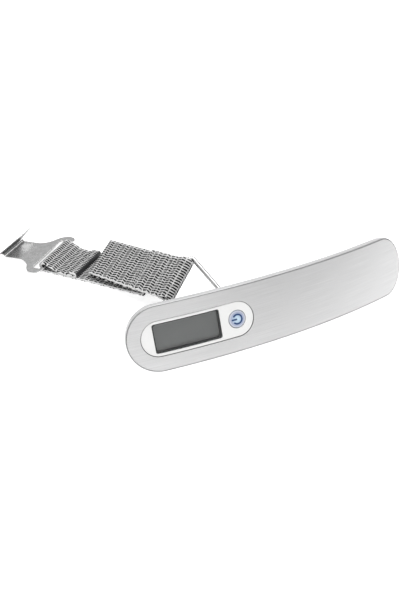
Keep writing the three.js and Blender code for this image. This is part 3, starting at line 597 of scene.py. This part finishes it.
def sweep(name, route, radius, sides=20):
    """A round bar along a route, in millimetres."""
    rings = []
    tangent = (route[1] - route[0]).normalized()
    side = tangent.orthogonal().normalized()
    for i, spot in enumerate(route):
        ahead = route[min(i + 1, len(route) - 1)] - route[max(i - 1, 0)]
        tangent = ahead.normalized()
        side = (side - tangent * side.dot(tangent)).normalized()
        other = tangent.cross(side)
        turns = [2 * math.pi * k / sides for k in range(sides)]
        rings.append([spot + radius * (math.cos(a) * side + math.sin(a) * other) for a in turns])
    return loft(name, rings)


def rounded_route(corners, radius, steps=10):
    route = [corners[0]]
    for before, corner, after in zip(corners, corners[1:], corners[2:]):
        enter = corner + (before - corner).normalized() * radius
        leave = corner + (after - corner).normalized() * radius
        for i in range(steps + 1):
            t = i / steps
            route.append(enter * (1 - t) ** 2 + corner * 2 * t * (1 - t) + leave * t**2)
    route.append(corners[-1])
    return route


def bail():
    """The wire ring, its two ends meeting inside the hanger's eye."""
    across = line("bail_swing")
    reach = place("strap_swing") - EYE
    fall = (reach - across * reach.dot(across)).normalized()
    height = (reach - across * reach.dot(across)).length
    short, bar = 4, 17
    corners = [(0.12, 0), (short, 0), (bar, height), (-bar, height), (-short, 0), (-0.12, 0)]
    spots = [EYE + across * x + fall * y for x, y in corners]
    route = []
    for group, radius in ((spots[:3], 2.0), (spots[1:5], 2.6), (spots[3:], 2.0)):
        part = rounded_route(group, radius)
        route += part[1:-1] if group is not spots[:3] else part[:-1]
    route.append(spots[-1])
    piece = fixed(sweep("bail", route, BAIL_WIRE), IN_PLACE)
    finish_piece(piece, NICKEL, "bail", "bright_steel", "wire_bail", angle=50)


def hanger():
    """The swivelling eye: stem, collar and a round ring."""
    frame_here = station(-21.5) @ Matrix.Translation((0, 0, -0.3))
    steps = [
        (5.1, 1.3), (5.4, 1.8), (18.3, 1.8), (18.4, 3.3), (18.7, 3.6),
        (19.7, 3.6), (20.0, 3.3), (20.3, 2.3), (21.0, 1.85), (25.2, 1.75),
    ]
    stem = loft("stem", [at(d, circle(0, r, 40)) for d, r in steps])
    finish_piece(fixed(stem, frame_here), NICKEL, "hanger", "bright_steel", "hanger_eye")
    axis = Vector((-0.807, 0, -0.591)).normalized()
    side = Vector((0, 1, 0))
    other = axis.cross(side)
    turns = [2 * math.pi * i / 48 for i in range(48)]
    rings = []
    for a in turns:
        out = math.cos(a) * side + math.sin(a) * other
        middle = Vector((0, 28.3, 0)) + out * 3.25
        around = [2 * math.pi * k / 18 for k in range(18)]
        rings.append([middle + 1.12 * (math.cos(b) * out + math.sin(b) * axis) for b in around])
    ring = fixed(loft("eye ring", rings, closed=True), frame_here)
    finish_piece(ring, NICKEL, "hanger", "bright_steel")


# ---------------------------------------------------------------- strap

STRAP_WIDTH = 25
STRAP_THICKNESS = 1.3
LAYER = 1.4
FOLD_GAP = 0.25


def section():
    """The webbing's cross-section: across and through, with rounded edges."""
    half, thick = STRAP_WIDTH / 2, STRAP_THICKNESS / 2
    corners = []
    for i in range(25):
        corners.append((-half + 0.5 + (2 * half - 1.0) * i / 24, thick))
    for i in range(1, 6):
        angle = math.pi / 2 - math.pi * i / 6
        corners.append((half - 0.5 + 0.5 * math.cos(angle), thick * math.sin(angle)))
    for i in range(25):
        corners.append((half - 0.5 - (2 * half - 1.0) * i / 24, -thick))
    for i in range(1, 6):
        angle = -math.pi / 2 - math.pi * i / 6
        corners.append((-half + 0.5 + 0.5 * math.cos(angle), thick * math.sin(angle)))
    return corners


def webbing(name, spots, sides, ups, measure):
    """Webbing through the given places, each with its width and its thickness directions."""
    profile = section()
    reach = [0.0]
    for (x, _), (x2, _) in zip(profile, profile[1:] + profile[:1]):
        reach.append(reach[-1] + abs(x2 - x) + 0.02)
    work = bmesh.new()
    layer = work.loops.layers.uv.new("Strap")
    rows, lengths = [], [measure]
    for i, (spot, side, upward) in enumerate(zip(spots, sides, ups)):
        if i:
            lengths.append(lengths[-1] + (spot - spots[i - 1]).length)
        rows.append([work.verts.new((spot + side * x + upward * z) / 1000) for x, z in profile])
    count = len(profile)
    for i in range(len(rows) - 1):
        for k in range(count):
            j = (k + 1) % count
            face = work.faces.new((rows[i][k], rows[i][j], rows[i + 1][j], rows[i + 1][k]))
            for loop, (u, v) in zip(face.loops, ((k, i), (k + 1, i), (k + 1, i + 1), (k, i + 1))):
                loop[layer].uv = (reach[u], lengths[v])
    for row, way, v in ((rows[0], -1, lengths[0]), (rows[-1], 1, lengths[-1])):
        cap = work.faces.new(row[::way])
        for loop in cap.loops:
            loop[layer].uv = (0.0, v)
    bmesh.ops.recalc_face_normals(work, faces=work.faces)
    piece = from_bmesh(name, work)
    piece.data.materials.append(WEBBING)
    smooth(piece, 50, weighted=False)
    piece["webbing_length"] = lengths[-1] - measure
    return piece, lengths[-1]


def layer_frame(start, end, start_across, end_across, length):
    """Carries a flat drawing (along, up) to its place between two lines: spot, side and up."""
    along = (end - start).normalized()

    def carry(x, z):
        part = x / length
        share = min(1, max(0, part))
        side = start_across.lerp(end_across, share).normalized()
        upward = side.cross(along).normalized()
        if upward.z < 0:
            upward.negate()
        square = upward.cross(along)
        if side.dot(square) < 0:
            side = -side
        return start + (end - start) * part + upward * z, side, upward, along

    return carry


def laid(name, path, carry, measure):
    """Webbing along a flat path of (along, up) points, carried to its place."""
    spots, sides, ups = [], [], []
    for i, (x, z) in enumerate(path):
        before, after = path[max(i - 1, 0)], path[min(i + 1, len(path) - 1)]
        dx, dz = after[0] - before[0], after[1] - before[1]
        size = math.hypot(dx, dz)
        spot, side, upward, along = carry(x, z)
        spots.append(spot)
        sides.append(side)
        ups.append((upward * dx - along * dz) / size)
    return webbing(name, spots, sides, ups, measure)


def run(a, b, step=1.0):
    """Points along a straight stretch."""
    count = max(1, round(math.hypot(b[0] - a[0], b[1] - a[1]) / step))
    return [(a[0] + (b[0] - a[0]) * i / count, a[1] + (b[1] - a[1]) * i / count) for i in range(count + 1)]


def bend(middle, radius, start, end, steps=24):
    """Points round an arc, from one angle in degrees to another."""
    turns = [math.radians(start + (end - start) * i / steps) for i in range(steps + 1)]
    return [(middle[0] + radius * math.cos(a), middle[1] + radius * math.sin(a)) for a in turns]


def joined(*parts):
    path = []
    for part in parts:
        for spot in part:
            if not path or math.hypot(spot[0] - path[-1][0], spot[1] - path[-1][1]) > 0.05:
                path.append(spot)
    return path


def stitches(name, rows, carry, body):
    """Rows of short stitches across the webbing; each row is (along, up)."""
    parts = []
    for x, z in rows:
        for k in range(8):
            middle = -9.8 + 2.8 * k
            route = []
            for i in range(9):
                t = i / 8
                spot, side, upward, _ = carry(x, z + 0.16 * math.sin(math.pi * t))
                route.append(spot + side * (middle - 0.95 + 1.9 * t))
            parts.append(fixed(sweep(name, route, 0.2, 8), IN_PLACE))
    first = parts[0]
    work = bmesh.new()
    for part in parts:
        work.from_mesh(part.data)
    for part in parts[1:]:
        bpy.data.objects.remove(part)
    work.to_mesh(first.data)
    work.free()
    finish_piece(first, THREAD, body, "webbing")
    return first


def fold(name, centre, first, second, out, across, measure):
    """The turn between two stacked layers, out past the fold's line."""
    radius = FOLD_GAP + LAYER / 2
    spots, sides, ups = [], [], []
    for i in range(17):
        a = math.pi * i / 16
        base = first if a < math.pi / 2 else second
        rise = radius * math.cos(a) * (1 if base is first else -1)
        spots.append(centre + base * rise + out * (radius * 0.8 * math.sin(a)))
        sides.append(across)
    for i, spot in enumerate(spots):
        ahead = spots[min(i + 1, 16)] - spots[max(i - 1, 0)]
        ups.append(ahead.cross(across).normalized())
    piece, measure = webbing(name, spots, sides, ups, measure)
    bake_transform(piece)
    return piece, measure


def strap():
    bar_line = -line("strap_swing")
    left, left_line = place("left_fold"), line("left_fold")
    near, near_line = place("right_fold"), -line("right_fold")
    start = place("strap_swing")
    fold_up = left_line.cross(left - start).normalized()
    if fold_up.z < 0:
        fold_up.negate()
    end = left + fold_up * (FOLD_GAP + LAYER)
    length = (end - start).length
    carry = layer_frame(start, end, bar_line, left_line, length)
    touch = math.degrees(math.acos(2.5 / math.hypot(7, 0.7)))
    tip = math.degrees(math.atan2(0.7, 7))
    path = joined(
        run((25, 0.7), (7, 0.7)),
        bend((0, 0), 2.5, touch + tip, 360 - touch - tip),
        run((7, -0.7), (length, -0.7)),
    )
    upper, measure = laid("upper webbing", path, carry, 0)
    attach(upper, "upper_strap")
    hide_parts("strap_upper")
    rows = [(23.2, 1.42), (21.2, 1.42), (9.4, 1.42)]
    upper_stitches = stitches("bail stitching", rows, carry, "upper_strap")
    outward = (end - start).normalized()

    mid_up = left_line.cross(left - near).normalized()
    if mid_up.z < 0:
        mid_up.negate()
    left_turn, measure = fold(
        "left fold", left, fold_up, -mid_up, outward, left_line, measure)

    mid_start = left - mid_up * (FOLD_GAP + LAYER)
    mid_end = near + Vector((0, 0, FOLD_GAP))
    length = (mid_end - mid_start).length
    carry = layer_frame(mid_start, mid_end, left_line, near_line, length)
    middle, measure = laid("middle webbing", run((0, 0.7), (length, 0.7)), carry, measure)
    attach(middle, "middle_strap")
    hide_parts("strap_middle")
    back = (mid_end - mid_start).normalized()
    right_turn, measure = fold(
        "right fold", near, Vector((0, 0, 1)), Vector((0, 0, -1)), back, near_line, measure)

    hook_line = line("hook_swing")
    bar = place("hook_swing")
    leg_up = hook_line.cross(bar - near).normalized()
    if leg_up.z < 0:
        leg_up.negate()
    foot = bar - leg_up * 3.2
    low = near - Vector((0, 0, FOLD_GAP + LAYER))
    length = (foot - low).length
    carry = layer_frame(low, foot, near_line, hook_line, length)
    touch = math.degrees(math.acos(2.5 / math.hypot(9, 1.1)))
    tip = math.degrees(math.atan2(1.1, 9))
    path = joined(
        run((0, 0.7), (length, 0.7)),
        bend((length, 3.2), 2.5, -90, 180 + tip - touch),
        run((length - 9, 2.1), (40.9, 2.1)),
        bend((40.9, 2.8), 0.7, 270, 90, 12),
        run((40.9, 3.5), (43.8, 3.5)),
    )
    lower, measure = laid("lower webbing", path, carry, measure)
    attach(lower, "lower_strap")
    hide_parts("strap_lower")
    lower_stitches = stitches("hook stitching", [(42.4, 4.22)], carry, "lower_strap")
    # A black strip across the hem's end, painted shadow for the hollow under the raised hem.
    edge = [(39.7, 1.5), (39.2, 1.55), (39.05, 2.4), (39.1, 3.5), (39.4, 4.0), (39.9, 4.1)]
    ends = [[carry(x, z)[0] + carry(x, z)[1] * y for x, z in edge] for y in (-12.3, 12.3)]
    hem_shadow_strip = finish_piece(fixed(loft("hem shadow strip", ends), IN_PLACE), BLACK, "lower_strap", "webbing")


# ---------------------------------------------------------------- hook

HOOK_CURL_START = 28.1
HOOK_CURL_RADIUS = 2.0
HOOK_LIP = 4.0
HOOK_HALF_THICKNESS = 0.65
HOOK_CURL = math.radians(130)


def bezier(a, b, c, steps=10):
    """Points along a curve from a to c that leans toward b, without its first."""
    points = []
    for i in range(1, steps + 1):
        t = i / steps
        weights = ((1 - t) ** 2, 2 * t * (1 - t), t**2)
        points.append(tuple(sum(w * corner[k] for w, corner in zip(weights, (a, b, c))) for k in (0, 1)))
    return points


def hook():
    """A stamped plate: slotted head with ears, waisted neck and a lip curled up and back."""
    lip_end = HOOK_CURL_START + HOOK_CURL_RADIUS * HOOK_CURL + HOOK_LIP
    head, neck, lip = 19, 8.8, 14.7
    half = [(-1.2, head - 4)]
    half += bezier((-1.2, head - 4), (-1.2, head), (3, head))
    half += bezier((3, head), (8, head), (10.5, head - 5))
    half += bezier((10.5, head - 5), (13, neck + 1), (18, neck))
    flare_start, flare_end = HOOK_CURL_START, lip_end - 0.9
    for i in range(25):
        share = i / 24
        half.append((flare_start + (flare_end - flare_start) * share, neck + (lip - neck) * share**3))
    half.append((lip_end, lip))
    outline = half + [(x, -z) for x, z in half[::-1]]
    rings = [[(x, z, d) for x, z in outline] for d in (-HOOK_HALF_THICKNESS, HOOK_HALF_THICKNESS)]
    plate = loft("hook", rings)
    slot = [(x, z) for x, z in rounded(3.75, 2.55, 14.5, 0.6)]
    tool = loft("tool", [[(x, z, -2) for x, z in slot], [(x, z, 2) for x, z in slot]])
    plate = soften(carve(plate, [tool]), 0.28, 3, 40)

    bar = place("hook_swing")
    across = line("hook_swing")
    to_bend = Vector((-16.57, 26.031, -2.533))
    upward = across.cross(to_bend).normalized()
    side = -across
    along = side.cross(upward)

    def curl(point):
        angle = min(max((point.x - HOOK_CURL_START) / HOOK_CURL_RADIUS, 0), HOOK_CURL)
        past = point.x - max(HOOK_CURL_START, 0) - angle * HOOK_CURL_RADIUS
        radius = HOOK_CURL_RADIUS - point.z
        x = HOOK_CURL_START + radius * math.sin(angle) + past * math.cos(angle)
        z = HOOK_CURL_RADIUS - radius * math.cos(angle) + past * math.sin(angle)
        return bar + along * x + side * point.y + upward * z

    cuts = [HOOK_CURL_START + HOOK_CURL_RADIUS * HOOK_CURL * i / 28 for i in range(29)]
    shape(plate, cuts, curl)
    finish_piece(plate, STAMPED, "hook", "stamped_steel", "hook_plate", angle=30)


# ---------------------------------------------------------------- carried-over pieces


def carried():
    """The inner pieces and the rear casing keep their own meshes and take their finish here."""
    finishes = {
        "rear_shell": SHELL, "battery_cover": SHELL, "lcd_panel": DISPLAY, "lcd_connector": BLACK,
        "switch_plunger": BLACK, "main_pcb": BOARD, "controller_chip": BLACK, "capacitor": ALUMINIUM,
        "tact_switch": BLACK, "load_cell_beam": ALUMINIUM, "strain_gauge_back": FOIL,
        "strain_gauge_front": FOIL, "load_cell_shim": ALUMINIUM, "load_cell_screw_1": NICKEL,
        "load_cell_screw_2": NICKEL, "hanger_nut": NICKEL, "hanger_washer": NICKEL, "coin_cell": NICKEL,
        "battery_tray": BLACK, "battery_contact_minus": NICKEL, "battery_contact_plus": NICKEL,
        "battery_lead_plus": RED, "battery_lead_minus": BLACK, "load_cell_lead": RED,
        "case_screw_1": NICKEL, "case_screw_2": NICKEL, "case_screw_3": NICKEL,
    }
    for name, material in finishes.items():
        node = frame["nodes"][name]
        node.data.materials.clear()
        node.data.materials.append(material)
        smooth(node, 32)


front_plate()
front_housing()
bezel()
lens_and_panel()
adhesive_gap_shade()
button()
bail()
hanger()
strap()
hook()
carried()

# ---------------------------------------------------------------- floor and light

ground = min(corner.z for corner in cad_box)
floor_mesh = bpy.data.meshes.new("floor")
floor_reach = 6.0
floor_corners = [(x * floor_reach, y * floor_reach, ground) for x, y in ((-1, -1), (1, -1), (1, 1), (-1, 1))]
floor_mesh.from_pydata(floor_corners, [], [(0, 1, 2, 3)])
floor = new_piece("floor", floor_mesh)
paper = Shader("paper floor")
paper.set(Roughness=0.9)
paper.skin.inputs["Base Color"].default_value = (0.9, 0.9, 0.9, 1)
paper.skin.inputs["Emission Color"].default_value = (1, 1, 1, 1)
paper.skin.inputs["Emission Strength"].default_value = 0.62
floor.data.materials.append(paper.material)


def studio():
    """A white dome with two dark flags low down, which give the bright metal its contrast."""
    world = bpy.data.worlds.new("studio")
    bpy.context.scene.world = world
    world.use_nodes = True
    nodes, links = world.node_tree.nodes, world.node_tree.links
    coordinates = nodes.new("ShaderNodeTexCoord")
    shade = None
    flags = (((0.92, 0.22, 0.30), 0.93, 0.80, 0.02), ((-0.65, 0.72, 0.22), 0.93, 0.82, 0.05))
    for towards, inner, outer, floor_level in flags:
        dot = nodes.new("ShaderNodeVectorMath")
        dot.operation = "DOT_PRODUCT"
        dot.inputs[1].default_value = Vector(towards).normalized()
        links.new(coordinates.outputs["Generated"], dot.inputs[0])
        level = nodes.new("ShaderNodeMapRange")
        level.interpolation_type = "SMOOTHSTEP"
        level.inputs["From Min"].default_value = outer
        level.inputs["From Max"].default_value = inner
        level.inputs["To Min"].default_value = 1.0
        level.inputs["To Max"].default_value = floor_level
        links.new(dot.outputs["Value"], level.inputs["Value"])
        if shade is None:
            shade = level.outputs["Result"]
        else:
            both = nodes.new("ShaderNodeMath")
            both.operation = "MULTIPLY"
            links.new(shade, both.inputs[0])
            links.new(level.outputs["Result"], both.inputs[1])
            shade = both.outputs[0]
    background = nodes["Background"]
    strength = nodes.new("ShaderNodeMath")
    strength.operation = "MULTIPLY"
    strength.inputs[1].default_value = 0.66
    links.new(shade, strength.inputs[0])
    links.new(strength.outputs[0], background.inputs["Strength"])
    background.inputs["Color"].default_value = (1, 1, 1, 1)


studio()


def softbox(name, spot, target, width, height, power):
    data = bpy.data.lights.new(name, "AREA")
    data.shape = "RECTANGLE"
    data.size, data.size_y = width, height
    data.energy = power
    lamp = bpy.data.objects.new(name, data)
    bpy.context.scene.collection.objects.link(lamp)
    aim = (Vector(target) - Vector(spot)).to_track_quat("-Z", "Y").to_matrix().to_4x4()
    lamp.matrix_world = Matrix.Translation(spot) @ aim


softbox("overhead", (0.1, 0.1, 0.9), (0, -0.02, 0), 0.9, 0.9, 6)
softbox("front fill", (-0.2, -0.9, 0.5), (0, -0.05, 0), 0.8, 0.5, 2)

scene = bpy.context.scene
scene.view_settings.view_transform = "Standard"
scene.view_settings.look = "None"
scene.view_settings.exposure = 0.0
